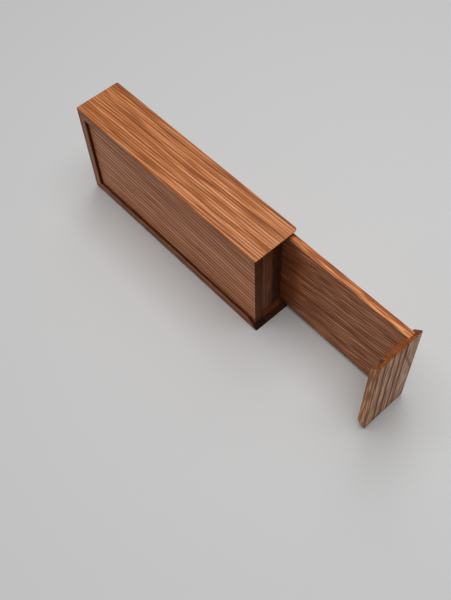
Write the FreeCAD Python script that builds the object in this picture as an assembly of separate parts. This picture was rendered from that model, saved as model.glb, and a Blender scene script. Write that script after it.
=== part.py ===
import FreeCAD, Part
import os

# A mitred oak box for papers and keepsakes, standing on one long narrow side.
# Three boards of its frame are fixed. The fourth, the cap, leaves with the sliding lid.
# Millimetres, +Z up. +X runs along the box towards the cap, +Y from the fixed panel to the lid.
# The origin is the middle of the closed box's footprint.

# Outside of the closed box
closed_length = 203.2
box_depth = 40.8
box_height = 91.8

# Thickness of each kind of board
frame_board = 8.0       # upper and lower side boards and the fixed end board
cap_board = 6.7         # end board on the lid, planed thinner than the frame
fixed_sheet = 6.3       # fixed panel on the near side
lid_sheet = 6.3         # sliding panel on the far side
wall_board = 6.3        # inner wall that closes the storage space behind the cap

# Grooves that hold the two panels
groove_inset = 2.6      # from the frame's edge to a panel's outer face
groove_depth = 4.0      # into the three fixed boards
cap_groove_depth = 3.2  # into the cap

# Clearances
panel_play = 0.1        # round the fixed panel's edges in its grooves
lid_play = 0.25         # on each side of what slides in a groove
tongue_play = 0.5       # past the fixed panel's free end when the box is closed
wall_play = 0.2         # between the inner wall and the cap when the box is closed

# Sanded edges
edge_round = 1.0        # every outer edge of the frame
tip_round = 3.0         # thin mitred corners beside the lid

# How far the lid stands open at rest
lid_open = 110.3

# Length by which a cutting tool runs past what it cuts
overrun = 5.0

# Outer faces of the closed box
left = -closed_length / 2
right = closed_length / 2
near = -box_depth / 2
far = box_depth / 2

# Inner faces of the frame
inner_left = left + frame_board
inner_bottom = frame_board
inner_top = box_height - frame_board
cap_inner = right - cap_board

# Outer and inner faces of the two panels
fixed_outer = near + groove_inset
fixed_inner = fixed_outer + fixed_sheet
lid_outer = far - groove_inset
lid_inner = lid_outer - lid_sheet


def block(x_from, x_to, y_from, y_to, z_from, z_to):
    """A block between three pairs of coordinates."""
    corner = FreeCAD.Vector(x_from, y_from, z_from)
    return Part.makeBox(x_to - x_from, y_to - y_from, z_to - z_from, corner)


def prism(corners, along):
    """A flat outline of corners, carried along a direction."""
    outline = Part.makePolygon(corners + corners[:1])
    return Part.Face(outline).extrude(along)


def mitred_board(outline):
    """A frame board from its outline in X and Z, with its outer edges sanded."""
    corners = [FreeCAD.Vector(x, near, z) for x, z in outline]
    board = prism(corners, FreeCAD.Vector(0, box_depth, 0))
    closed_box = block(left, right, near, far, 0, box_height)
    sanded_box = closed_box.makeFillet(edge_round, closed_box.Edges)
    return board.common(sanded_box)


def tip_waste(corner, inward_a, inward_b, along):
    """What sanding takes off a thin square corner, over the whole of its edge."""
    middle = corner + (inward_a + inward_b) * tip_round
    reach = tip_round + overrun
    square = [
        middle,
        middle - inward_a * reach,
        middle - (inward_a + inward_b) * reach,
        middle - inward_b * reach,
    ]
    rod = Part.makeCylinder(tip_round, along.Length, middle, along)
    return prism(square, along).cut(rod)


def fixed_groove(x_from, x_to, z_from, z_to):
    """Groove that the fixed panel is set into."""
    return block(x_from, x_to, fixed_outer - panel_play, fixed_inner + panel_play, z_from, z_to)


def lid_groove(x_from, x_to, z_from, z_to):
    """Groove that the lid slides in."""
    return block(x_from, x_to, lid_inner - lid_play, lid_outer + lid_play, z_from, z_to)


def upper_side_board():
    """Side board over the lid, mitred at both ends and grooved along its inner face."""
    board = mitred_board([
        (left, box_height),
        (right, box_height),
        (right - frame_board, inner_top),
        (inner_left, inner_top),
    ])
    for groove in (fixed_groove, lid_groove):
        board = board.cut(groove(left, right, inner_top - overrun, inner_top + groove_depth))
    corner = FreeCAD.Vector(right, far, inner_top - overrun)
    upward = FreeCAD.Vector(0, 0, frame_board + 2 * overrun)
    return board.cut(tip_waste(corner, FreeCAD.Vector(-1, 0, 0), FreeCAD.Vector(0, -1, 0), upward))


def lower_side_board():
    """Side board under the lid, the mirror image of the upper one."""
    mid_height = FreeCAD.Vector(0, 0, box_height / 2)
    return upper_side_board().mirror(mid_height, FreeCAD.Vector(0, 0, 1))


def fixed_end_board():
    """End board glued between the side boards, grooved for both panels."""
    board = mitred_board([
        (left, 0),
        (left, box_height),
        (inner_left, inner_top),
        (inner_left, inner_bottom),
    ])
    for groove in (fixed_groove, lid_groove):
        board = board.cut(groove(inner_left - groove_depth, inner_left + overrun, 0, box_height))
    return board


def fixed_panel():
    """Panel in the near side. Its free end is the tongue that enters the cap."""
    return block(
        inner_left - groove_depth + panel_play,
        cap_inner + cap_groove_depth - tongue_play,
        fixed_outer,
        fixed_inner,
        inner_bottom - groove_depth + panel_play,
        inner_top + groove_depth - panel_play,
    )


def inner_end_wall():
    """Wall across the open end, from the fixed panel to just clear of the lid."""
    outer_x = cap_inner - wall_play
    return block(
        outer_x - wall_board,
        outer_x,
        fixed_inner,
        lid_inner - lid_play,
        inner_bottom,
        inner_top,
    )


def lid_panel():
    """Sliding panel of the closed box, glued into the cap at its right end."""
    return block(
        inner_left - groove_depth + lid_play,
        cap_inner + cap_groove_depth,
        lid_inner,
        lid_outer,
        inner_bottom - groove_depth + lid_play,
        inner_top + groove_depth - lid_play,
    )


def lid_end_board():
    """Cap of the closed box, bevelled to meet the side boards' mitres."""
    board = mitred_board([
        (right, 0),
        (right, box_height),
        (cap_inner, box_height - cap_board),
        (cap_inner, cap_board),
    ])
    groove_floor = cap_inner + cap_groove_depth
    tongue_near = fixed_outer - lid_play
    tongue_far = fixed_inner + lid_play
    for near_side, far_side in ((tongue_near, tongue_far), (lid_inner, lid_outer)):
        board = board.cut(block(cap_inner - overrun, groove_floor, near_side, far_side, 0, box_height))
    corner = FreeCAD.Vector(cap_inner - overrun, far, 0)
    through = FreeCAD.Vector(cap_board + 2 * overrun, 0, 0)
    return board.cut(tip_waste(corner, FreeCAD.Vector(0, -1, 0), FreeCAD.Vector(0, 0, 1), through))


def drawn_out(shape):
    """A piece of the closed lid, moved to where it rests."""
    return shape.translated(FreeCAD.Vector(lid_open, 0, 0))


pieces = {
    "upper_side_board": upper_side_board(),
    "lower_side_board": lower_side_board(),
    "fixed_end_board": fixed_end_board(),
    "fixed_panel": fixed_panel(),
    "inner_end_wall": inner_end_wall(),
    "lid_panel": drawn_out(lid_panel()),
    "lid_end_board": drawn_out(lid_end_board()),
}

os.makedirs("parts", exist_ok=True)
for name, shape in pieces.items():
    shape.exportStep("parts/" + name + ".step")
    print(name, len(shape.Solids), "solid,", round(shape.Volume), "mm3, valid:", shape.isValid())

pull_off = right - pieces["lid_panel"].BoundBox.XMin
print("closes after", lid_open, "mm and comes off after", round(pull_off, 2), "mm more")
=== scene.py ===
# %% [markdown]
# # A slim oak box whose end board leaves with its lid
#
# The real object is a small box of stained oak, standing on one long narrow side. Three boards of its
# frame are glued at mitred corners. The fourth, the cap, is glued to a thin panel that slides in grooves,
# so lid and cap come away together. Here the lid stands a little over half open.
#
# The CAD model already knows where every board is. This script dresses it: each plain solid is replaced by
# a board with eased edges, a fine line at each mitre and a wood that runs right through it.

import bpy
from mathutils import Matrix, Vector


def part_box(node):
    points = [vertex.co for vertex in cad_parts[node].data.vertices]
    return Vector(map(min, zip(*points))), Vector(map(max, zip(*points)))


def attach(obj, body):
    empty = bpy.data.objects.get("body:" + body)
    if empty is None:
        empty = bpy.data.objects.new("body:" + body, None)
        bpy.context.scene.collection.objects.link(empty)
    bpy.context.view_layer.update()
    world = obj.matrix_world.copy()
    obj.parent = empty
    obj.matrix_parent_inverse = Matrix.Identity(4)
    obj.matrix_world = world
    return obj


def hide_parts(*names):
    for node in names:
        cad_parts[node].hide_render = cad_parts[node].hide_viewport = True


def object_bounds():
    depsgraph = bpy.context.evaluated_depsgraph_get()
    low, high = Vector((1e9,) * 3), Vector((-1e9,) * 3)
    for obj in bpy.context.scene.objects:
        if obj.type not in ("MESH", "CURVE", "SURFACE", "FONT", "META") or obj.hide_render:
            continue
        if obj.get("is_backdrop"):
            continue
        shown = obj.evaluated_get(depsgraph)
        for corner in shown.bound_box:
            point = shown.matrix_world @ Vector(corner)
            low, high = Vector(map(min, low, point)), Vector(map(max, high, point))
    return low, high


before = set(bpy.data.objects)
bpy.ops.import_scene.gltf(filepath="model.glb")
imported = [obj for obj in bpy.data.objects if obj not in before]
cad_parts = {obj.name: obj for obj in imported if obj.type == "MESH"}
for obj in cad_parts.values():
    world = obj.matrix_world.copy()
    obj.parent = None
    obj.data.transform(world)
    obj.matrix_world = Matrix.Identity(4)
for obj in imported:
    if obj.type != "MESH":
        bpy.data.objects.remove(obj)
cad_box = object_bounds()
print("the CAD box, in metres:", [tuple(round(c, 4) for c in corner) for corner in cad_box])

# %% [markdown]
#
# Blender ships with everything this lesson needs. bmesh edits points and faces, and mathutils turns and moves
# them. The view transform decides how light becomes screen colour. Standard shows a colour about as it is
# written, so the wood's colours can be judged by eye against the real thing.

# %% What this lesson uses
import math
from types import SimpleNamespace

import bmesh
import bpy
from mathutils import Matrix, Vector

scene = bpy.context.scene
scene.view_settings.view_transform = "Standard"
print("Blender", bpy.app.version_string)

# %% [markdown]
# ## The measures of the box
#
# A cabinet maker works from a short cutting list. The outside sizes could be typed in again, but a number
# that lives in two places soon differs, so they are read from the CAD boards. Only what the boards' boxes
# don't tell, such as the depth of a groove, is written down further on, where it is first needed.

# %% Sizes read from the CAD boards
METRE = 1000.0


def measured(node):
    """Lowest and highest corner of a CAD board, in millimetres."""
    return tuple(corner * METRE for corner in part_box(node))


upper_low, upper_high = measured("upper_side_board")
end_low, end_high = measured("fixed_end_board")
cap_low, cap_high = measured("lid_end_board")
panel_low, panel_high = measured("fixed_panel")
lid_low, lid_high = measured("lid_panel")
wall_low, wall_high = measured("inner_end_wall")
print("the fixed panel is", round(panel_high.y - panel_low.y, 2), "mm thick")

# %% The closed box and its boards
left = end_low.x
right = -left
near = upper_low.y
far = upper_high.y
top = upper_high.z
frame_board = end_high.x - end_low.x
cap_board = cap_high.x - cap_low.x
lid_open = cap_high.x - right
print("closed box", round(right - left, 1), "x", round(far - near, 1), "x", round(top, 1), "mm")
print("the lid stands open by", round(lid_open, 1), "mm")

# %% The inside of the frame
inner_left = left + frame_board
inner_bottom = frame_board
inner_top = top - frame_board
cap_inner = right - cap_board
print("the frame is", round(inner_top - inner_bottom, 1), "mm high inside")

# %% [markdown]
# ## Cutting a board
#
# Each board starts as a flat outline, pushed through to a solid, as a saw leaves it. A modelling program can
# bevel a cube, but a mitre and a groove are cuts, and a Boolean modifier makes cuts as a saw and a plane
# make them. The outline is drawn larger than the box and then intersected with one rounded block for the
# closed box, so that the rounding runs on smoothly from board to board, as sandpaper leaves it.

# %% A solid from an outline
def new_solid(name, bm):
    """An object from a bmesh, in the scene and with its faces pointing outwards."""
    bmesh.ops.recalc_face_normals(bm, faces=bm.faces)
    mesh = bpy.data.meshes.new(name)
    bm.to_mesh(mesh)
    bm.free()
    solid = bpy.data.objects.new(name, mesh)
    scene.collection.objects.link(solid)
    return solid


def pushed_through(name, outline, along):
    """A flat outline of points, pushed along a direction into a solid."""
    bm = bmesh.new()
    face = bm.faces.new([bm.verts.new(point) for point in outline])
    copied = bmesh.ops.extrude_face_region(bm, geom=[face])["geom"]
    moved = [item for item in copied if isinstance(item, bmesh.types.BMVert)]
    bmesh.ops.translate(bm, verts=moved, vec=along)
    return new_solid(name, bm)


def plank(name, low, high):
    """A straight plank between two opposite corners."""
    outline = [
        (low.x, low.y, low.z),
        (high.x, low.y, low.z),
        (high.x, high.y, low.z),
        (low.x, high.y, low.z),
    ]
    return pushed_through(name, outline, Vector((0, 0, high.z - low.z)))


# %% [markdown]
# ## Saw, plane and sandpaper
#
# On a bench a cut is final. Here each cut is a Boolean modifier that is made permanent at once, so that the
# next cut meets real edges. The exact solver is slower than the fast one, but it copes with faces that touch,
# and a groove's wall often does. The block stands for the closed box with its outer edges rounded.

# %% Cuts
def worked(solid):
    """Makes the solid's modifiers permanent, as a cut is on a bench."""
    bpy.context.view_layer.update()
    graph = bpy.context.evaluated_depsgraph_get()
    mesh = bpy.data.meshes.new_from_object(solid.evaluated_get(graph), depsgraph=graph)
    solid.modifiers.clear()
    old = solid.data
    solid.data = mesh
    bpy.data.meshes.remove(old)
    mesh.name = solid.name
    return solid


def cut(solid, tool, operation="DIFFERENCE"):
    """Cuts solid with another solid, which is used up."""
    saw = solid.modifiers.new("saw", "BOOLEAN")
    saw.operation = operation
    saw.solver = "EXACT"
    saw.object = tool
    worked(solid)
    bpy.data.objects.remove(tool)
    return solid


# %% The sanded block
edge_round = 1.2
edge_round_steps = 6


def sanded_block():
    """The closed box as one block with rounded edges."""
    block = plank("sanded_block", Vector((left, near, 0)), Vector((right, far, top)))
    rounding = block.modifiers.new("rounding", "BEVEL")
    rounding.width = edge_round
    rounding.segments = edge_round_steps
    return worked(block)


print("outer edges are rounded by", edge_round, "mm")

# %% [markdown]
# ## A board of the frame
#
# Seen from the near side, each frame board is a long four-cornered shape with its ends cut at 45 degrees.
# Drawing that outline a little too large and intersecting it with the rounded block gives mitres and outer
# edges that meet those of the next board exactly, which placing four finished boards would not.

# %% A frame board
overrun = 5.0


def frame_board_from(name, outline):
    """A board of the frame from its outline seen from the near side, as points of x and z."""
    points = [(x, near - overrun, z) for x, z in outline]
    board = pushed_through(name, points, Vector((0, far - near + 2 * overrun, 0)))
    return cut(board, sanded_block(), "INTERSECT")


print("outlines are drawn", overrun, "mm too large")

# %% [markdown]
# ## Grooves
#
# A groove is a shallow trench that holds a panel's edge, and a plough plane cuts it in one pass. It could be
# faked with a dark line, but light falls into a real one, and the lid has to slide in it. Each groove is a
# plank taken out of the board. The fixed panel fits almost tightly, and the lid has room to run.

# %% A groove
fixed_slack = 0.1
lid_slack = 0.25
fixed_slot_y = (panel_low.y - fixed_slack, panel_high.y + fixed_slack)
lid_slot_y = (lid_low.y - lid_slack, lid_high.y + lid_slack)


def groove(in_x, in_y, in_z):
    """What the plough plane takes out, from one value to another in x, in y and in z."""
    low, high = zip(in_x, in_y, in_z)
    return plank("groove", Vector(low), Vector(high))


print("the fixed panel's groove starts", round(fixed_slot_y[0] - near, 2), "mm behind the near edge")

# %% [markdown]
# ## Worn tips
#
# Where the lid slides out, the two side boards end in thin points, and hands have worn them round. A Bevel
# modifier could round one edge, but it rounds a whole loop as easily as one tip. A piece of waste with a
# quarter circle in it takes off just the corner that is meant, like a file.

# %% What a file takes off a tip
quarter_steps = 8
left_way = Vector((-1, 0, 0))
back_way = Vector((0, 1, 0))
up_way = Vector((0, 0, 1))


def tip_waste(corner, inward_a, inward_b, along, rounding):
    """What wear takes off a thin square corner: a square post less the rounding."""
    middle = corner + (inward_a + inward_b) * rounding
    reach = rounding + overrun
    points = []
    for step in range(quarter_steps + 1):
        turn = math.pi / 2 * step / quarter_steps
        points.append(middle - (inward_a * math.cos(turn) + inward_b * math.sin(turn)) * rounding)
    points.append(middle - inward_b * reach)
    points.append(middle - (inward_a + inward_b) * reach)
    points.append(middle - inward_a * reach)
    return pushed_through("waste", points, along)


# %% [markdown]
# ## The two long sides
#
# These carry the grooves for the fixed panel and for the lid. A maker ploughs both grooves right through
# before sawing the mitres, so here too they run from end to end and come out in the open end, where they can
# be seen beside the lid.

# %% The two long side boards
groove_depth = 4.0
far_tip_round = 4.5
upper_near_tip_round = 1.5
lower_near_tip_round = 2.5
whole_length = (left - overrun, right + overrun)


def side_board(name, outer, inner, near_tip_round):
    """A side board between the heights of its outer and inner face, with grooves and rounded tips."""
    outwards = 1 if outer > inner else -1
    board = frame_board_from(name, [
        (left - overrun, outer + outwards * overrun),
        (right + overrun, outer + outwards * overrun),
        (right - frame_board, inner),
        (inner_left, inner),
    ])
    groove_z = sorted((inner - outwards * overrun, inner + outwards * groove_depth))
    for slot_y in (fixed_slot_y, lid_slot_y):
        cut(board, groove(whole_length, slot_y, groove_z))
    through = up_way * (frame_board + 2 * overrun)
    for y, inward, rounding in ((far, -back_way, far_tip_round), (near, back_way, near_tip_round)):
        start = Vector((right, y, min(outer, inner) - overrun))
        cut(board, tip_waste(start, left_way, inward, through, rounding))
    return board


upper = side_board("upper_board_oak", top, inner_top, upper_near_tip_round)
lower = side_board("lower_board_oak", 0, inner_bottom, lower_near_tip_round)
print("side boards:", len(upper.data.vertices), "and", len(lower.data.vertices), "points")

# %% [markdown]
# ## The fixed end
#
# The board at the closed end meets both sides in mitres, and holds the ends of both panels in two grooves. It
# is built like the sides but its cuts stand upright.

# %% The fixed end board
whole_height = (-overrun, top + overrun)
fixed_end = frame_board_from("fixed_end_oak", [
    (left - overrun, -overrun),
    (left - overrun, top + overrun),
    (inner_left, inner_top),
    (inner_left, inner_bottom),
])
for slot_y in (fixed_slot_y, lid_slot_y):
    cut(fixed_end, groove((inner_left - groove_depth, inner_left + overrun), slot_y, whole_height))
print("fixed end board:", len(fixed_end.data.vertices), "points")

# %% [markdown]
# ## The cap
#
# The fourth board of the frame belongs to the lid. It is thinner than the others, and its mitres are bare
# because nothing is glued to them. Of its two grooves, one holds the lid panel's glued end, and the other
# takes the end of the fixed panel when the box is shut. The cap is built where it sits on the closed box and
# then moved out with the lid, so that the grooves and the rounding are sure to line up.

# %% The cap with its grooves
cap_groove_depth = 3.2
cap = frame_board_from("cap_oak", [
    (right + overrun, -overrun),
    (right + overrun, top + overrun),
    (cap_inner, top - cap_board),
    (cap_inner, cap_board),
])
for slot_y in ((panel_low.y - lid_slack, panel_high.y + lid_slack), (lid_low.y, lid_high.y)):
    cut(cap, groove((cap_inner - overrun, cap_inner + cap_groove_depth), slot_y, whole_height))
print("cap with grooves:", len(cap.data.vertices), "points")

# %% The cap's worn foot
tip_round = 3.0
foot_round = 5.0
through_cap = Vector((cap_board + 2 * overrun, 0, 0))
across_cap = Vector((0, far - near + 2 * overrun, 0))
worn_edges = [
    (Vector((cap_inner - overrun, far, 0)), -back_way, through_cap, tip_round),
    (Vector((cap_inner - overrun, near, 0)), back_way, through_cap, foot_round),
    (Vector((right, near - overrun, 0)), left_way, across_cap, tip_round),
]
for corner, inward, along, rounding in worn_edges:
    cut(cap, tip_waste(corner, inward, up_way, along, rounding))
cap.data.transform(Matrix.Translation((lid_open, 0, 0)))
print("cap with worn foot:", len(cap.data.vertices), "points")

# %% [markdown]
# ## Two panels and a small wall
#
# The panels are plain thin boards, and so is the wall that closes the space inside before the lid's cap. Each
# is as the CAD model has it. They get their character from their eased edges and their grain.

# %% The panels and the inner wall
fixed_sheet = plank("fixed_panel_oak", panel_low, panel_high)
lid_sheet = plank("lid_panel_oak", lid_low, lid_high)
inner_wall = plank("inner_wall_oak", wall_low, wall_high)
print("inner wall:", round(wall_high.x - wall_low.x, 2), "mm thick")

# %% [markdown]
# ## Easing the edges
#
# A saw leaves a knife edge, and a maker breaks it with a stroke of fine paper. Without this small flat no
# edge catches the light, and a model looks cut from card. The Bevel modifier does it, and the weight on each
# edge says how much: the mitres get a hair only, because they are glued and sanded together.

# %% How much each edge is eased
sharp_turn = math.radians(32)
flat_turn = math.radians(0.5)
mitre_share = 0.3


def is_mitre(face):
    """A face cut at 45 degrees across the frame's corner."""
    return abs(face.normal.x) > 0.6 and abs(face.normal.z) > 0.6


def mark_edges(board):
    """Joins faces that lie in one plane, and gives each sharp edge its share of the easing."""
    bm = bmesh.new()
    bm.from_mesh(board.data)
    bmesh.ops.dissolve_limit(bm, angle_limit=flat_turn, verts=bm.verts, edges=bm.edges)
    weights = bm.edges.layers.float.new("bevel_weight_edge")
    for edge in bm.edges:
        if len(edge.link_faces) == 2 and edge.calc_face_angle() > sharp_turn:
            on_mitre = any(is_mitre(face) for face in edge.link_faces)
            edge[weights] = mitre_share if on_mitre else 1.0
    bm.to_mesh(board.data)
    bm.free()


# %% [markdown]
# ## Clean faces and true shading
#
# A cut may leave two points a hair apart, which would show as a speck, so they are joined. Smooth shading
# blends the light across small facets and makes a rounding look round, but it would also bend it across a
# flat board. Sharp edges stop it there, and weighted normals let the large faces win over the small ones.

# %% Ease, clean and shade a board
ease_width = 0.35
speck = 0.01
crisp_turn = math.radians(40)


def swept(board):
    """Joins points that a cut left almost on top of each other."""
    bm = bmesh.new()
    bm.from_mesh(board.data)
    bmesh.ops.remove_doubles(bm, verts=bm.verts, dist=speck)
    bmesh.ops.dissolve_degenerate(bm, dist=speck, edges=bm.edges)
    bm.to_mesh(board.data)
    bm.free()


def eased(board):
    """Breaks a board's sharp edges, shades it, and turns its millimetres into metres."""
    mark_edges(board)
    plane = board.modifiers.new("ease", "BEVEL")
    plane.limit_method = "WEIGHT"
    plane.width = ease_width
    plane.segments = 2
    worked(board)
    swept(board)
    board.data.shade_smooth()
    board.data.set_sharp_from_angle(angle=crisp_turn)
    flats = board.modifiers.new("flats_stay_flat", "WEIGHTED_NORMAL")
    flats.keep_sharp = True
    worked(board)
    board.data.transform(Matrix.Scale(1 / METRE, 4))


# %% [markdown]
# ## Every board in its place
#
# Each dressed board takes the place of one CAD board and rides on the body it belongs to: five boards stay
# with the box, and the lid panel and the cap leave together. The table also names a slot for the wood each
# board wears, but nothing here uses it: every board is given its own finish further on.

# %% Replace the CAD boards
boards = {
    "upper_side_board": (upper, "box", "side_board_oak"),
    "lower_side_board": (lower, "box", "side_board_oak"),
    "fixed_end_board": (fixed_end, "box", "end_board_oak"),
    "fixed_panel": (fixed_sheet, "box", "panel_oak"),
    "inner_end_wall": (inner_wall, "box", "inner_wall_oak"),
    "lid_panel": (lid_sheet, "lid", "panel_oak"),
    "lid_end_board": (cap, "lid", "end_board_oak"),
}
for node, (board, body, slot) in boards.items():
    eased(board)
    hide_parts(node)
    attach(board, body)
    print(node, "eased:", len(board.data.polygons), "faces")

# %% [markdown]
# ## Oak that runs right through a board
#
# Stained oak has three things to see. Each year's growth begins with a band of open pores, which soak up
# the stain and look like fine dark lines. The denser wood after it stays paler. And the colour drifts in
# broad streaks along the board. A photograph wrapped round the board would show the lines bent at every
# edge. Here the wood is a solid instead: the shader works out where a point lies in the log, in millimetres
# along, across and through the grain, so side, edge and end match of their own accord.

# %% Small tools for a shader
def add(tree, kind, values=None, out=0, **settings):
    """Adds a shader node, fills its inputs by name or number, and returns one of its outputs."""
    node = tree.nodes.new("ShaderNode" + kind)
    for name, setting in settings.items():
        setattr(node, name, setting)
    for place, value in (values or {}).items():
        if isinstance(value, bpy.types.NodeSocket):
            tree.links.new(value, node.inputs[place])
        else:
            node.inputs[place].default_value = value
    return node.outputs[out]


def sums(tree, operation, a, b=0.0, c=0.0):
    """One step of arithmetic on a number that changes over the surface."""
    return add(tree, "Math", {0: a, 1: b, 2: c}, operation=operation)


def plus(tree, base, layer, share):
    """The base with a share of a layer added to it."""
    return sums(tree, "MULTIPLY_ADD", layer, share, base)


def centred(tree, noise):
    """Noise from 0 to 1, moved down so that it darkens as often as it lightens."""
    return sums(tree, "SUBTRACT", noise, 0.5)


def vectors(tree, operation, a, *others):
    """One step of arithmetic on three numbers at once."""
    return add(tree, "VectorMath", dict(enumerate((a, *others))), operation=operation)


def parts(tree, vector):
    """The three numbers that a vector is made of."""
    split = tree.nodes.new("ShaderNodeSeparateXYZ")
    tree.links.new(vector, split.inputs[0])
    return list(split.outputs)


# %% Soft steps and soft noise
def eased_step(tree, value, start, end, low=0.0, high=1.0):
    """Runs softly from low to high as value goes from start to end."""
    places = {"Value": value, "From Min": start, "From Max": end, "To Min": low, "To Max": high}
    return add(tree, "MapRange", places, interpolation_type="SMOOTHSTEP")


def cloud(tree, place, stretch, shift, detail=2.0, out="Fac"):
    """Soft noise with blobs of the size stretch, in millimetres along, across and through the grain."""
    scale = tuple(1 / size for size in stretch)
    shifts = (shift, shift * 1.7, shift * 0.6)
    spot = vectors(tree, "MULTIPLY_ADD", place, scale, shifts)
    return add(tree, "TexNoise", {"Vector": spot, "Scale": 1.0, "Detail": detail}, out=out)


# %% [markdown]
# ## A place in the log
#
# Texture coordinates name a point on the surface. Object coordinates name it in space, and they ride along
# when the lid slides, so the grain never swims. Swapping the axes lets one recipe serve a board that lies and
# one that stands. No tree grows straight, so a slow noise bends the lines and a quick one makes them waver.

# %% Where a point lies in the log
def log_place(tree, grain):
    """A point's place in millimetres: as it is, and as numbers along, across and through the grain."""
    place = add(tree, "TexCoord", out="Object")
    in_mm = add(tree, "VectorMath", {0: place, "Scale": METRE}, operation="SCALE")
    xyz = parts(tree, in_mm)
    return in_mm, [xyz["XYZ".index(axis)] for axis in grain]


def wandering(tree, place, shift, wander):
    """Bends the grain: a slow wander of the whole board's lines, and a quick small waver."""
    slow = ((75, 18, 18), wander, shift)
    quick = ((16, 5, 5), wander * 0.2, shift + 9)
    bent = place
    for stretch, reach, start in (slow, quick):
        pull = cloud(tree, place, stretch, start, detail=1.0, out="Color")
        pull = vectors(tree, "ADD", pull, (-0.5, -0.5, -0.5))
        bent = vectors(tree, "MULTIPLY_ADD", pull, (0, reach, reach), bent)
    return bent


# %% [markdown]
# ## End grain
#
# End grain is a bundle of open straws, so it drinks stain and dries dark and dull. Its faces could be given a
# material of their own, but the colour would then change with a hard line. The surface's own normal tells how
# far a face looks along the grain, and the change runs softly round the eased edge.

# %% How far a face looks along an axis
def looks_along(tree, axis):
    """1 on a face that looks along the axis, 0 on one that runs with it."""
    normal = add(tree, "TexCoord", out="Normal")
    return eased_step(tree, sums(tree, "ABSOLUTE", parts(tree, normal)["XYZ".index(axis)]), 0.3, 0.7)


def slanted(tree, sides, grain, slant):
    """A place in a board that was sawn a little across the grain. Its edges still show straight lines."""
    edge_on = looks_along(tree, grain[1])
    lean = sums(tree, "MULTIPLY", sides[0], plus(tree, -slant, edge_on, slant))
    place = add(tree, "CombineXYZ", dict(enumerate(sides)))
    return vectors(tree, "ADD", place, add(tree, "CombineXYZ", {1: lean}))


# %% [markdown]
# ## Rings and pores
#
# A ring is a circle round the tree's heart, so the distance from a line far outside the board gives the
# years. The part after the point in that number says how far through a year a point lies. Spring wood starts
# suddenly and fades slowly, and each year is given its own strength. A picture of rings could be painted
# instead, but it would not run on round the edges of a board.

# %% Rings
def growth_rings(tree, place, heart, ring_width, even, shift):
    """How deep into the porous start of its year's growth a point lies, from 0 to 1."""
    across, through = parts(tree, place)[1:]
    a = sums(tree, "SUBTRACT", across, heart[0])
    b = sums(tree, "SUBTRACT", through, heart[1])
    squares = sums(tree, "MULTIPLY_ADD", a, a, sums(tree, "MULTIPLY", b, b))
    years = sums(tree, "DIVIDE", sums(tree, "SQRT", squares), ring_width)
    part_of_year = sums(tree, "FRACT", years)
    spring = eased_step(tree, part_of_year, 0.0, 0.08)
    summer = eased_step(tree, part_of_year, 0.12, 0.45, 1.0, 0.0)
    band = sums(tree, "MULTIPLY", spring, summer)
    year = sums(tree, "ADD", sums(tree, "FLOOR", years), shift)
    vigour = add(tree, "TexWhiteNoise", {"W": year}, noise_dimensions="1D")
    vigour = sums(tree, "MULTIPLY_ADD", vigour, 1 - even, even)
    fade = eased_step(tree, cloud(tree, place, (55, 4, 4), shift + 5), 0.3, 0.65, 0.45, 1.0)
    return sums(tree, "MULTIPLY", sums(tree, "MULTIPLY", band, vigour), fade)


# %% Pores
pore_length = 6.5
pore_spacing = 0.6


def pores(tree, place, rings, shift):
    """Open pores: long thin cells, most of them in the spring part of a ring."""
    cells = (1 / pore_length, 1 / pore_spacing, 1 / pore_spacing)
    spot = vectors(tree, "MULTIPLY_ADD", place, cells, (shift, 0, 0))
    distance = add(tree, "TexVoronoi", {"Vector": spot, "Scale": 1.0}, voronoi_dimensions="3D")
    size = sums(tree, "MULTIPLY_ADD", rings, 0.34, 0.16)
    return eased_step(tree, sums(tree, "SUBTRACT", size, distance), -0.08, 0.12)


# %% [markdown]
# ## Streaks of stain
#
# Some boards carry a few darker streaks in places that anyone would recognise. Noise can't put them there.
# A curve gives the height of each streak along the board, the distance from it gives the darkness, and a
# little of the wood's own noise frays it so that it doesn't look drawn with a pen.

# %% Streaks
def streak(tree, sides, ragged, points, width):
    """A darker streak along a line of (along, across) points, ragged at its sides and ends."""
    start = points[0][0]
    length = points[-1][0] - start
    lowest = min(point[1] for point in points)
    height = max(point[1] for point in points) - lowest
    curve = tree.nodes.new("ShaderNodeFloatCurve")
    line = curve.mapping.curves[0]
    first, second, *others = [((x - start) / length, (y - lowest) / height) for x, y in points]
    line.points[0].location = first
    line.points[1].location = second
    for spot in others:
        line.points.new(*spot)
    curve.mapping.update()
    share = sums(tree, "DIVIDE", sums(tree, "SUBTRACT", sides[0], start), length)
    tree.links.new(share, curve.inputs["Value"])
    middle = sums(tree, "MULTIPLY_ADD", curve.outputs[0], height, lowest)
    off = sums(tree, "ABSOLUTE", sums(tree, "SUBTRACT", sides[1], middle))
    off = plus(tree, off, centred(tree, ragged), width * 1.4)
    return eased_step(tree, off, width * 0.15, width, 1.0, 0.0)


# %% [markdown]
# ## Painted shade in the corners
#
# Shade falls where the light does not reach: at the foot of a panel, in a groove and inside the open end.
# Ambient occlusion could find such places, but it would darken the lid differently at each place along its
# slide. So the shade is painted into the colour, and a soft box in space, fixed to its board, says where.

# %% Painted shade in corners
def gloom(tree, spot, low, high, soft):
    """1 inside a box between two corners, fading out over soft millimetres around it."""
    middle = [(a + b) / 2 for a, b in zip(low, high)]
    half = [(b - a) / 2 for a, b in zip(low, high)]
    off = vectors(tree, "ABSOLUTE", vectors(tree, "SUBTRACT", spot, middle))
    off = vectors(tree, "MAXIMUM", vectors(tree, "SUBTRACT", off, half), (0, 0, 0))
    distance = add(tree, "VectorMath", {0: off}, out="Value", operation="LENGTH")
    return eased_step(tree, distance, 0.0, soft, 1.0, 0.0)


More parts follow.
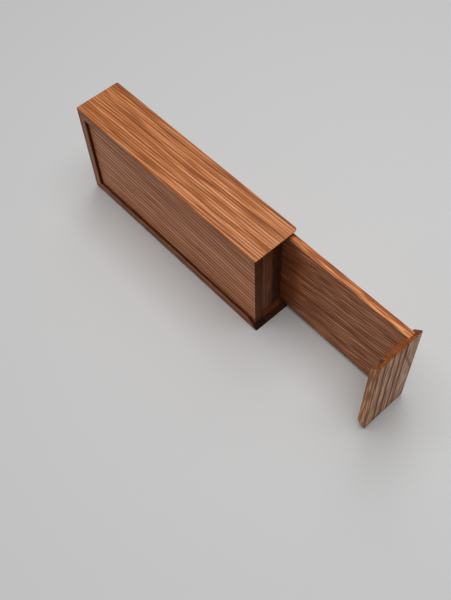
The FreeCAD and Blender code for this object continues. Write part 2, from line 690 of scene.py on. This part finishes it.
def with_painted_shade(tree, colour, spot, dark_corners):
    """Paints shade into a colour in each soft box, blue a little more than red, as light bounced between
    wooden faces is warm.
    """
    for low, high, soft, depth in dark_corners:
        brown = [-depth * share for share in (0.88, 1.0, 1.05)]
        shade = vectors(tree, "MULTIPLY_ADD", gloom(tree, spot, low, high, soft), brown, (1, 1, 1))
        colour = vectors(tree, "MULTIPLY", colour, shade)
    return colour


# %% [markdown]
# ## The layers of a board's wood
#
# A real board shows rings, pores, fibres and slow drifts of colour at once, each at its own scale. One rich
# noise could imitate the sum, but then nothing could be told apart. Here every layer is a number of its own,
# so that colour, gloss and relief can each use the layers that matter to them.

# %% Layers
def wood_layers(tree, board):
    """Every layer of the wood, as numbers that change from point to point."""
    shift = board.shift
    spot, sides = log_place(tree, board.grain)
    place = slanted(tree, sides, board.grain, board.slant)
    bent = wandering(tree, place, shift, board.wander)
    ends = looks_along(tree, board.grain[0])
    rings = growth_rings(tree, bent, board.heart, board.ring_width, board.even, shift)
    rings = sums(tree, "MULTIPLY", rings, plus(tree, 1.0, ends, -0.3))
    dashes = cloud(tree, bent, (13 * board.length, 0.75, 0.75), shift + 4, detail=0.0)
    return SimpleNamespace(
        spot=spot,
        sides=sides,
        ends=ends,
        rings=rings,
        holes=pores(tree, bent, rings, shift),
        thin_lines=eased_step(tree, dashes, 0.62, 0.36),
        fibre=cloud(tree, bent, (12 * board.length, 0.5, 0.5), shift + 3),
        flecks=cloud(tree, bent, (18 * board.length, 1.8, 1.8), shift + 6, detail=1.0),
        strands=cloud(tree, bent, (150, 4.5, 4.5), shift + 7, detail=1.0),
        drift=cloud(tree, place, (160, 12, 12), shift + 8),
    )


# %% [markdown]
# ## One tone from many layers
#
# Everything that makes the wood darker or paler is added up as one number, the tone. Mixing many coloured
# layers would soon turn muddy. A streak is dull as well as dark, so the same step that darkens the tone also
# raises the roughness, and on end grain the tone is drawn towards a plain middle value.

# %% Tone
plain_tone = 0.75
end_tone = 0.55
plain_roughness = 0.42


def tone_of(tree, board, wood):
    """How pale the wood is without its streaks: 0 in the darkest pore, 1 on the hardest wood."""
    tone = plus(tree, plain_tone, wood.rings, -board.rings_show)
    tone = plus(tree, tone, sums(tree, "SUBTRACT", wood.sides[0], board.level), board.slope)
    tone = plus(tree, tone, wood.holes, -0.12)
    tone = plus(tree, tone, wood.thin_lines, -board.lines)
    tone = plus(tree, tone, centred(tree, wood.fibre), 0.5)
    tone = plus(tree, tone, centred(tree, wood.flecks), 0.3)
    tone = plus(tree, tone, centred(tree, wood.strands), 0.9 * board.bands)
    return plus(tree, tone, centred(tree, wood.drift), 0.5 * board.drifts)


def streaked(tree, board, wood, tone):
    """The tone with its streaks, the roughness that goes with it, and how much colour the streaks leave."""
    matt = plus(tree, plain_roughness, wood.rings, 0.14)
    light_left = 1.0
    for points, width, depth in board.streaks:
        dark = streak(tree, wood.sides, wood.flecks, points, width)
        dark = sums(tree, "MULTIPLY", dark, sums(tree, "SUBTRACT", 1.0, wood.ends))
        tone = plus(tree, tone, dark, -depth)
        matt = plus(tree, matt, dark, 0.3 * depth)
        light_left = sums(tree, "MULTIPLY", light_left, plus(tree, 1.0, dark, -0.4 * depth))
    to_plain = sums(tree, "SUBTRACT", end_tone, tone)
    tone = sums(tree, "MULTIPLY_ADD", to_plain, sums(tree, "MULTIPLY", wood.ends, 0.4), tone)
    return tone, matt, light_left


# %% [markdown]
# ## From tone to colour
#
# A ramp turns the tone into colour, so that dark and pale stay colours of one stain. The stain is a red brown
# that turns towards black in the pores and towards tan on hard wood. Sun and hands leave each board a little
# different, so a board may be lighter or yellower than its neighbour. Where a board is greyer, the grey is a
# painted sheen of the pale floor mirrored in it.

# %% The stain
def stained(light=1.0, grey=0.0, gold=0.0):
    """The oak's colours from its pores to its palest wood: more light, more grey as a painted sheen, or more
    gold.
    """
    steps = [
        (0.0, (0.170, 0.042, 0.009)),
        (0.25, (0.265, 0.075, 0.014)),
        (0.55, (0.395, 0.135, 0.045)),
        (0.85, (0.530, 0.215, 0.100)),
        (1.0, (0.600, 0.280, 0.150)),
    ]
    colours = []
    for tone, colour in steps:
        middle = sum(colour) / 3
        greyed = grey * min(tone / end_tone, 1.0)
        dulled = [part + (middle - part) * greyed for part in colour]
        dulled[1] *= 1 + gold
        colours.append((tone, tuple(part * light for part in dulled)))
    return colours


# %% Colour
def ramp(tree, value, steps):
    """A colour for each value, blended between the steps."""
    node = tree.nodes.new("ShaderNodeValToRGB")
    tree.links.new(value, node.inputs[0])
    marks = node.color_ramp.elements
    while len(marks) < len(steps):
        marks.new(0.5)
    for mark, (position, colour) in zip(marks, steps):
        mark.position = position
        mark.color = (*colour, 1)
    return node.outputs[0]


def wood_colour(tree, board, wood, tone, light_left):
    """The stain's colour for the tone, darker in streaks, in boxes of painted shade and on end grain."""
    colour = ramp(tree, tone, board.colours)
    colour = add(tree, "VectorMath", {0: colour, "Scale": light_left}, operation="SCALE")
    colour = with_painted_shade(tree, colour, wood.spot, board.dark_corners)
    lost = [share - 1 for share in board.end_colour]
    soaked = vectors(tree, "MULTIPLY_ADD", wood.ends, lost, (1, 1, 1))
    return vectors(tree, "MULTIPLY", colour, soaked)


# %% [markdown]
# ## Putting the oak together
#
# Roughness and relief are made from the same layers as the colour: a pore is darker and deeper at once, and
# spring wood is duller too. The relief is under a tenth of a millimetre, too fine for a mesh, so a bump node
# tilts the light instead. The finish has little shine, so the specular level is low. Every board has its own
# place in the log, its own heart and its own ring width. What else may differ is listed first.

# %% The usual board
usual_board = {
    "slant": 0.005,  # millimetres that the lines climb in each millimetre along the board
    "wander": 1.5,  # millimetres that they stray
    "even": 0.35,  # how strong the weakest year is
    "rings_show": 0.25,  # how dark the rings are
    "lines": 0.35,  # how dark the thin broken lines are
    "length": 1.0,  # how long lines and flecks are
    "bands": 1.0,  # strength of the strands, some millimetres wide
    "drifts": 1.0,  # strength of the broad slow changes
    # the slope paints a gradient of light and shade along the board
    "slope": 0.0,  # how much paler the board gets with each millimetre
    "level": 0.0,  # where along the board the slope changes nothing
    "end_colour": (0.65, 0.5, 0.35),  # share of red, green and blue left on end grain
    "streaks": (),
    # soft boxes of painted shade, which paint a place paler where their darkness is below zero
    "dark_corners": (),
}
print("a board may differ in", len(usual_board), "ways, besides its place in the log and its colour")


# %% One board's oak
pore_relief = 0.00008


def relief_of(tree, wood):
    """The height of the surface: a pore is a pit, spring wood lies low and fibres stand up a little."""
    height = sums(tree, "MULTIPLY", wood.fibre, 0.35)
    height = plus(tree, height, wood.holes, -1.0)
    height = plus(tree, height, wood.rings, -0.4)
    return add(tree, "Bump", {"Strength": 0.6, "Distance": pore_relief, "Height": height})


def oak(name, **special):
    """A stained oak for one board, from what sets it apart from the usual board."""
    board = SimpleNamespace(**{**usual_board, **special})
    material = bpy.data.materials.new(name)
    material.use_nodes = True
    tree = material.node_tree
    shader = tree.nodes["Principled BSDF"]
    wood = wood_layers(tree, board)
    tone, matt, light_left = streaked(tree, board, wood, tone_of(tree, board, wood))
    colour = wood_colour(tree, board, wood, tone, light_left)
    tree.links.new(colour, shader.inputs["Base Color"])
    matt = plus(tree, matt, wood.ends, 0.2)
    matt = plus(tree, matt, centred(tree, wood.flecks), 0.2)
    tree.links.new(matt, shader.inputs["Roughness"])
    tree.links.new(relief_of(tree, wood), shader.inputs["Normal"])
    shader.inputs["IOR"].default_value = 1.5
    shader.inputs["Specular IOR Level"].default_value = 0.2
    return material


def dress(node, finish):
    """Gives a dressed board its finish."""
    boards[node][0].data.materials.append(finish)
    print(finish.name, "has", len(finish.node_tree.nodes), "shader nodes")


# %% [markdown]
# ## The upper board
#
# The top catches the most light. Its grain is straight, with fine regular rings and three faint broad
# streaks, whose places are measured from the board's edges so that they stay put if the box changes size.
# Each painted shade box is a low and a high corner, the width of its soft border, and its darkness.

# %% The upper board's oak
def along_top(points):
    """Points on the upper board, from millimetres past its left end and in from its far edge."""
    return [(left + x, far - y) for x, y in points]


middle_of_top = [(0, 13), (20, 16), (50, 17), (80, 18.5), (104, 19.5), (140, 15.6), (180, 14), (203, 12)]
near_side_of_top = [(0, 32), (40, 35), (66, 36), (90, 35), (128, 31), (160, 30.5), (180, 28.5), (203, 28.5)]
far_side_of_top = [(0, 3), (30, 5), (60, 6), (84, 6.5), (104, 5), (150, 3)]
top_streaks = [
    (along_top(middle_of_top), 2.4, 0.24),
    (along_top(near_side_of_top), 2.6, 0.24),
    (along_top(far_side_of_top), 2.0, 0.2),
]
ledge_above = [
    # painted shade along the head of the fixed panel, then inside the open end
    ((left, near + 1.4, inner_top - 1), (right - 9, panel_low.y + 0.4, inner_top + 0.4), 0.5, 0.8),
    ((right - 8, near + 1.4, inner_top - 1), (right + 1, far, top - 2.2), 1.0, 0.6),
]
dress("upper_side_board", oak(
    "upper_board_finish", grain="XYZ", shift=1.3, heart=(-400.0, -60.0), ring_width=2.1,
    colours=stained(1.25, gold=0.03), rings_show=1.0, even=0.65, slant=0.02, wander=0.8, lines=0.45,
    # the slope paints the top a little paler towards the right, a painted sheen
    length=2.5, bands=0.5, drifts=1.1, slope=0.0005, streaks=top_streaks, dark_corners=ledge_above,
))

# %% [markdown]
# ## The lower board
#
# Painted shade lies along the foot of the fixed panel and on the floor of the open end, which is darkest at
# its front, its back and its low tip. Boxes may overlap: each takes its share of what the others have left.

# %% The lower board's oak
ledge = [
    # painted shade along the foot of the fixed panel, then the open end's front, back, low tip and all of it
    ((left, near + 1.0, inner_bottom - 0.4), (right, panel_low.y + 0.4, inner_bottom + 1), 0.5, 0.9),
    ((right - 9, near + 1.0, 0), (right + 1, near + 11, inner_bottom + 1), 1.0, 0.7),
    ((right - 9, far - 9, 0), (right + 1, far, inner_bottom + 1), 3.0, 0.7),
    ((right - 3.5, near + 0.9, -1), (right + 1, far, 4), 1.5, 0.75),
    ((right - 9, near + 1.0, 0), (right + 1, far, inner_bottom + 1), 1.0, 0.35),
]
dress("lower_side_board", oak(
    "lower_board_finish", grain="XYZ", shift=14.1, heart=(-110.0, 60.0), ring_width=3.6,
    colours=stained(0.69, grey=0.05), dark_corners=ledge,
))

# %% [markdown]
# ## The fixed end
#
# The grain of the end board stands upright, as it runs the long way of every board. Turning the axes round is
# all it takes. The narrow strip beside the fixed panel lies in a recess, and its shade is painted dark.

# %% The fixed end's oak
behind = far + overrun
recess_end = [
    # painted shade on the strip beside the fixed panel
    ((inner_left - 0.4, near + 0.7, 0), (inner_left + overrun, behind, top), 0.5, 0.9),
]
dress("fixed_end_board", oak(
    "fixed_end_finish", grain="ZYX", shift=23.7, heart=(90.0, -160.0), ring_width=3.4,
    colours=stained(0.78), length=1.5, dark_corners=recess_end,
))

# %% [markdown]
# ## The fixed panel
#
# The large near face is the plainest one: tight rings that run almost along it, and a border of painted shade
# where it goes into its three grooves. A vignette over the picture would darken the frame too, so the border
# is made of soft boxes that belong to the panel alone. Its grey is a painted sheen of the pale floor.

# %% The fixed panel's oak
panel_border = [
    # painted shade along the bottom, the top and the left edge
    ((left, near, 0), (right, behind, inner_bottom + 0.3), 0.8, 0.5),
    ((left, near, inner_top - 0.3), (right, behind, top), 0.8, 0.5),
    ((left, near, 0), (inner_left + 0.3, behind, top), 0.8, 0.5),
]
dress("fixed_panel", oak(
    "fixed_panel_finish", grain="XZY", shift=37.2, heart=(-120.0, 20.0), ring_width=4.6,
    # the grey in the stain is a painted sheen of the pale floor
    colours=stained(1.62, 0.1, 0.02), rings_show=1.3, even=0.6, slant=-0.032, length=2.0, bands=0.9,
    # its end grain is painted darker than usual, partly stain and partly painted shade in the open end
    drifts=0.4, end_colour=(0.2, 0.15, 0.12), dark_corners=panel_border,
))

# %% [markdown]
# ## The inner wall
#
# This small wall closes the space inside. It stands between the two panels, out of the light. Its dark colour
# is partly a darker stain and partly painted shade, and painted shade darkens it more at both sides.

# %% The inner wall's oak
wall_sides = [
    # painted shade beside the lid, then beside the fixed panel
    ((wall_low.x, lid_low.y - 7, 0), (wall_high.x + 1, behind, top), 5.0, 0.8),
    ((wall_low.x, near, 0), (wall_high.x + 1, panel_high.y + 3, top), 3.0, 0.5),
]
dress("inner_end_wall", oak(
    "inner_wall_finish", grain="ZYX", shift=48.9, heart=(-90.0, 40.0), ring_width=3.6,
    # this dark colour is partly a darker stain and partly painted shade inside the box
    colours=stained(0.5), dark_corners=wall_sides,
))

# %% [markdown]
# ## The lid
#
# The lid's grain slants down towards the cap, and two broad streaks cross it. Its upper edge is paler in the
# middle, with a darker line on each side: a darkness below zero makes a place paler. The part that waits at
# the mouth of the box carries a painted shadow. Its box stands off the near side, so that it fades out before
# it reaches the far face. The slope paints the whole lid darker towards the box, as painted shade.

# %% The lid's oak
def along_lid(points):
    """Points on the lid, from millimetres past the open end of the box and below the lid's upper edge."""
    return [(right + x, lid_high.z - y) for x, y in points]


lid_streaks = [
    (along_lid([(-5, 56), (20, 53), (40, 48), (60, 46.5), (80, 46.5), (100, 48)]), 5.0, 0.3),
    (along_lid([(10, 69), (30, 68), (56, 70), (70, 69), (86, 66), (100, 62)]), 2.6, 0.25),
]
lid_crown = lid_high.z + 1
lid_edges = [
    # the upper edge's near line, far line and pale middle, then a painted shadow at the mouth of the box
    ((left, lid_low.y - 1, lid_high.z - 0.5), (cap_high.x, lid_low.y + 0.5, lid_crown), 0.8, 0.35),
    ((left, lid_high.y - 0.6, lid_high.z - 0.5), (cap_high.x, lid_high.y + 1, lid_crown), 0.8, 0.4),
    ((left, lid_low.y - 1, lid_high.z - 0.2), (cap_high.x, lid_high.y + 1, lid_crown), 0.3, -0.32),
    ((right - 36, lid_low.y - 20, 0), (right + 3, lid_low.y - 10, top), 16.0, 1.45),
]
dress("lid_panel", oak(
    "lid_panel_finish", grain="XZY", shift=55.4, heart=(190.0, -20.0), ring_width=3.6,
    colours=stained(1.3, gold=0.03), rings_show=0.9, even=0.4, slant=0.12, length=1.5, bands=0.9,
    # the slope paints the lid darker towards the box, a painted shade
    drifts=1.6, lines=0.75, slope=0.0016, level=150.0, streaks=lid_streaks, dark_corners=lid_edges,
))

# %% [markdown]
# ## The cap
#
# The cap's outer face is greyer, a painted sheen of the pale floor. Thin dark lines run down it, and one
# slants across them. Its bare mitres show end grain, which has drunk the stain. The groove and the far
# corners carry painted shade, and the near edge is paler.

# %% The cap's oak
cap_streaks = [
    ([(top, near + 6.1), (48, near + 7.6), (0, near + 9)], 1.2, 1.0),
    ([(top, near + 14.0), (50, near + 14.6), (0, near + 15.8)], 1.2, 1.0),
    ([(top, near + 20.3), (60, near + 21.5), (0, near + 23)], 1.3, 1.0),
    ([(top, near + 26.5), (50, near + 27.4), (0, near + 28.5)], 1.1, 0.9),
    ([(top, near + 26.0), (78, near + 27), (64, near + 32), (48, near + 38), (30, near + 43)], 2.2, 0.42),
]
groove_floor = cap_low.x + cap_groove_depth + 0.1
cap_corners = [
    # painted shade in the groove and the far corners at the foot and at the top, then the paler near edge
    ((cap_low.x - 1, panel_low.y - 0.3, 0), (groove_floor, panel_high.y + 0.3, top), 0.2, 0.7),
    ((cap_low.x, far - 5, 0), (cap_high.x + 1, far + 1, 6), 14.0, 0.45),
    ((cap_low.x, far - 4, top - 6), (cap_high.x - 1.5, far + 1, top + 1), 2.0, 0.4),
    ((cap_low.x - 1, near - 1, 0), (cap_high.x - 0.9, near + 0.4, top - cap_board), 0.6, -0.25),
]
dress("lid_end_board", oak(
    "cap_finish", grain="ZYX", shift=66.6, heart=(-160.0, 120.0), ring_width=3.7,
    # the grey in the stain is a painted sheen of the pale floor
    colours=stained(1.72, 0.33, 0.15), rings_show=0.6, lines=0.75, length=1.5, bands=0.9, drifts=0.9,
    end_colour=(0.46, 0.26, 0.115), streaks=cap_streaks, dark_corners=cap_corners,
))

# %% [markdown]
# ## The camera
#
# The camera looks down on the open end from the near right. Its place was found by matching corners of the
# box to where they appear in the picture, which also gives the focal length. It is kept as three turns and a
# place, which a reader can change one at a time.

# %% The camera
camera_place = Vector((0.32326, -0.22503, 0.52360))
camera_turn = 51.442
camera_tilt = 32.334
camera_roll = -4.183
camera_lens = 47.275
camera_film = 36.0

camera_data = bpy.data.cameras.new("camera")
camera_data.lens = camera_lens
camera_data.sensor_width = camera_film
camera = bpy.data.objects.new("camera", camera_data)
scene.collection.objects.link(camera)
turn = Matrix.Rotation(math.radians(camera_turn), 4, "Z")
tilt = Matrix.Rotation(math.radians(camera_tilt), 4, "X")
roll = Matrix.Rotation(math.radians(camera_roll), 4, "Z")
camera.matrix_world = Matrix.Translation(camera_place) @ turn @ tilt @ roll
scene.camera = camera
print("camera", round(camera_place.length, 2), "m from the box, with a lens of", camera_lens, "mm")

# %% [markdown]
# ## The floor
#
# The box stands on a plain pale surface with no edge in sight. A large matt sheet catches the shadow. Its
# grey is painted a little darker away from the box, a painted falloff of the light. Far away it gives way
# to an even glow that only the camera sees, so that a low view has no dark horizon.

# %% What the camera sees of the room
def seen_directly(tree):
    """1 for a ray from the camera, for one mirrored in a glossy surface and for one through glass."""
    path = tree.nodes.new("ShaderNodeLightPath")
    seen = path.outputs["Is Camera Ray"]
    for kind in ("Is Glossy Ray", "Is Transmission Ray"):
        seen = sums(tree, "MAXIMUM", seen, path.outputs[kind])
    return seen


# %% The floor's paint
# painted falloff of light: paler near the box, darker away from it
near_grey = (0.62, 0.62, 0.62)
far_grey = (0.54, 0.54, 0.54)
middle_of_floor = (0.2, 0.1, 0)

floor_paint = bpy.data.materials.new("floor_paint")
floor_paint.use_nodes = True
tree = floor_paint.node_tree
shader = tree.nodes["Principled BSDF"]
where = add(tree, "TexCoord", out="Object")
away = add(tree, "VectorMath", {0: where, 1: middle_of_floor}, out="Value", operation="DISTANCE")
paint = ramp(tree, away, [(0.1, near_grey), (0.6, far_grey)])
tree.links.new(paint, shader.inputs["Base Color"])
shader.inputs["Roughness"].default_value = 0.9
glow = add(tree, "Emission", {"Color": (*far_grey, 1), "Strength": 1.0})
far_off = sums(tree, "MULTIPLY", eased_step(tree, away, 0.6, 1.6), seen_directly(tree))
mixed = add(tree, "MixShader", {0: far_off, 1: shader.outputs[0], 2: glow})
tree.links.new(mixed, tree.nodes["Material Output"].inputs[0])
print("floor paint has", len(tree.nodes), "shader nodes")

# %% The floor
floor_reach = 6.0
floor_bm = bmesh.new()
bmesh.ops.create_grid(floor_bm, x_segments=1, y_segments=1, size=floor_reach)
floor = new_solid("floor", floor_bm)
floor.data.materials.append(floor_paint)
floor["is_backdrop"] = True
print("floor", round(floor.dimensions.x, 1), "m wide")

# %% [markdown]
# ## Soft light
#
# A large softbox overhead makes the upper faces bright and the upright ones darker, with a broad shadow. A
# second, weaker one from behind stands in for a window. The room adds a trace of light from everywhere, and
# looks pale to the camera only.

# %% The room
room_light = 0.04
room_seen = 0.5
world = bpy.data.worlds.new("room")
scene.world = world
world.use_nodes = True
air = world.node_tree
background = air.nodes["Background"]
background.inputs["Color"].default_value = (1, 1, 1, 1)
strength = sums(air, "MULTIPLY_ADD", seen_directly(air), room_seen, room_light)
air.links.new(strength, background.inputs["Strength"])
print("the room lights the box with a strength of", room_light)

# %% The softboxes
aim = Vector((0.03, 0, 0.04))
softboxes = {
    "ceiling": ((0.03, 0.0, 2.24), 2.2, 53),
    "window": ((-0.67, 1.078, 1.572), 1.0, 5),
}
for name, (place, side, watts) in softboxes.items():
    light = bpy.data.lights.new(name, "AREA")
    light.shape = "SQUARE"
    light.size = side
    light.energy = watts
    lamp = bpy.data.objects.new(name, light)
    scene.collection.objects.link(lamp)
    lamp.location = place
    lamp.rotation_euler = (lamp.location - aim).to_track_quat("Z", "Y").to_euler()
    print(name, "softbox at", place, "with", watts, "W")

# %% [markdown]
# ## Comparing the size
#
# The dressed box has to be as large as the CAD box, or a drawer planned round it won't fit. Its high corner
# is compared with the CAD box's, and how far it has grown is printed.

# %% Compare the sizes and finish
dressed_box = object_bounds()
growth = [round((dressed - cad) * METRE, 2) for cad, dressed in zip(cad_box[1], dressed_box[1])]
print("grown by", growth, "mm at the high corner")
